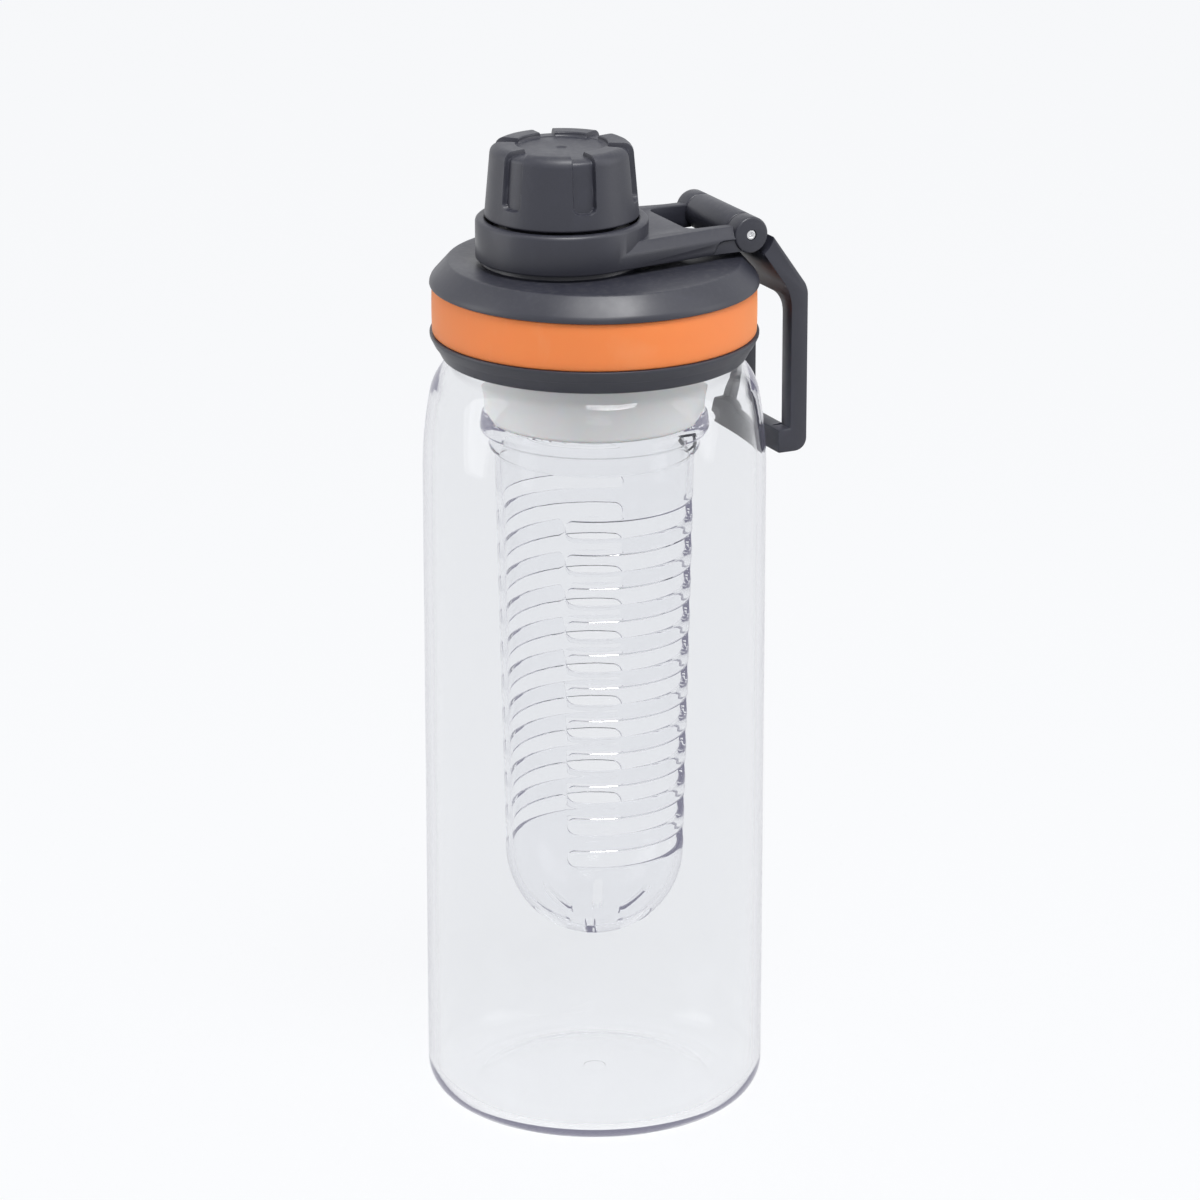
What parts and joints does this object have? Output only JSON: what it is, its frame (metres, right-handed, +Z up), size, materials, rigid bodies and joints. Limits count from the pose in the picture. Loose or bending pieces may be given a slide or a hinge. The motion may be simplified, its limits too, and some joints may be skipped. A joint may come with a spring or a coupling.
{
  "type": "fruit infuser water bottle",
  "caption": "Clear cylindrical water bottle with a screw lid, soft grip band, capped spout, swinging carry loop and a slotted infuser basket hanging inside.",
  "frame": {"origin": "middle of the bottle's foot, on the surface that it stands on", "axes": "+Z up the bottle's axis, +X towards the hanging carry loop, +Y along the loop's hinge"},
  "size_m": [0.0878, 0.08, 0.2331],
  "materials": {
    "clear_body": "clear, polished",
    "clear_basket": "clear, polished",
    "dark_plastic": "satin, fine moulded grain",
    "soft_band": "soft matte",
    "milky_plastic": "milky satin",
    "seal": "matte",
    "pin_steel": "turned"
  },
  "bodies": {
    "bottle": {"bottle_body": "clear_body"},
    "gasket": {"lid_gasket": "seal"},
    "band": {"grip_band": "soft_band"},
    "lid": {"lid_shell": "dark_plastic"},
    "liner": {"cap_liner": "seal"},
    "cap": {"screw_cap": "dark_plastic"},
    "sleeve": {"inner_sleeve": "milky_plastic"},
    "infuser": {"infuser_basket": "clear_basket"},
    "bracket": {"carry_bracket": "dark_plastic", "hinge_pin": "pin_steel"},
    "handle": {"carry_handle": "dark_plastic"}
  },
  "joints": [
    {"name": "lid_lift", "type": "slide", "parent": "bottle", "child": "gasket", "axis": [0, 0, 1], "range_m": [0, 0.175]},
    {"name": "lid_rise", "type": "slide", "parent": "gasket", "child": "band", "axis": [0, 0, 1], "range_m": [0, 0.009]},
    {"name": "lid_turn", "type": "hinge", "parent": "band", "child": "lid", "pos_m": [0, 0, 0.19], "axis": [0, 0, 1], "range_deg": [0, 541]},
    {"name": "cap_rise", "type": "slide", "parent": "lid", "child": "liner", "axis": [0, 0, 1], "range_m": [0, 0.012]},
    {"name": "cap_turn", "type": "hinge", "parent": "liner", "child": "cap", "pos_m": [-0.0083, 0, 0.222], "axis": [0, 0, 1], "range_deg": [0, 865]},
    {"name": "infuser_turn", "type": "hinge", "parent": "lid", "child": "sleeve", "pos_m": [0, 0, 0.17], "axis": [0, 0, -1], "range_deg": [0, 721]},
    {"name": "infuser_drop", "type": "slide", "parent": "sleeve", "child": "infuser", "axis": [0, 0, -1], "range_m": [0, 0.008]},
    {"name": "bracket_swivel", "type": "hinge", "parent": "lid", "child": "bracket", "pos_m": [-0.0083, 0, 0.21], "axis": [0, 0, 1], "continuous": true},
    {"name": "handle_swing", "type": "hinge", "parent": "bracket", "child": "handle", "pos_m": [0.0328, 0, 0.21015], "axis": [0, -1, 0], "range_deg": [0, 165]}
  ],
  "couplings": [
    {"joint": "lid_turn", "follows": "lid_rise", "rad_per_m": 1047.2},
    {"joint": "cap_turn", "follows": "cap_rise", "rad_per_m": 1256.6},
    {"joint": "infuser_turn", "follows": "infuser_drop", "rad_per_m": 1570.8}
  ]
}
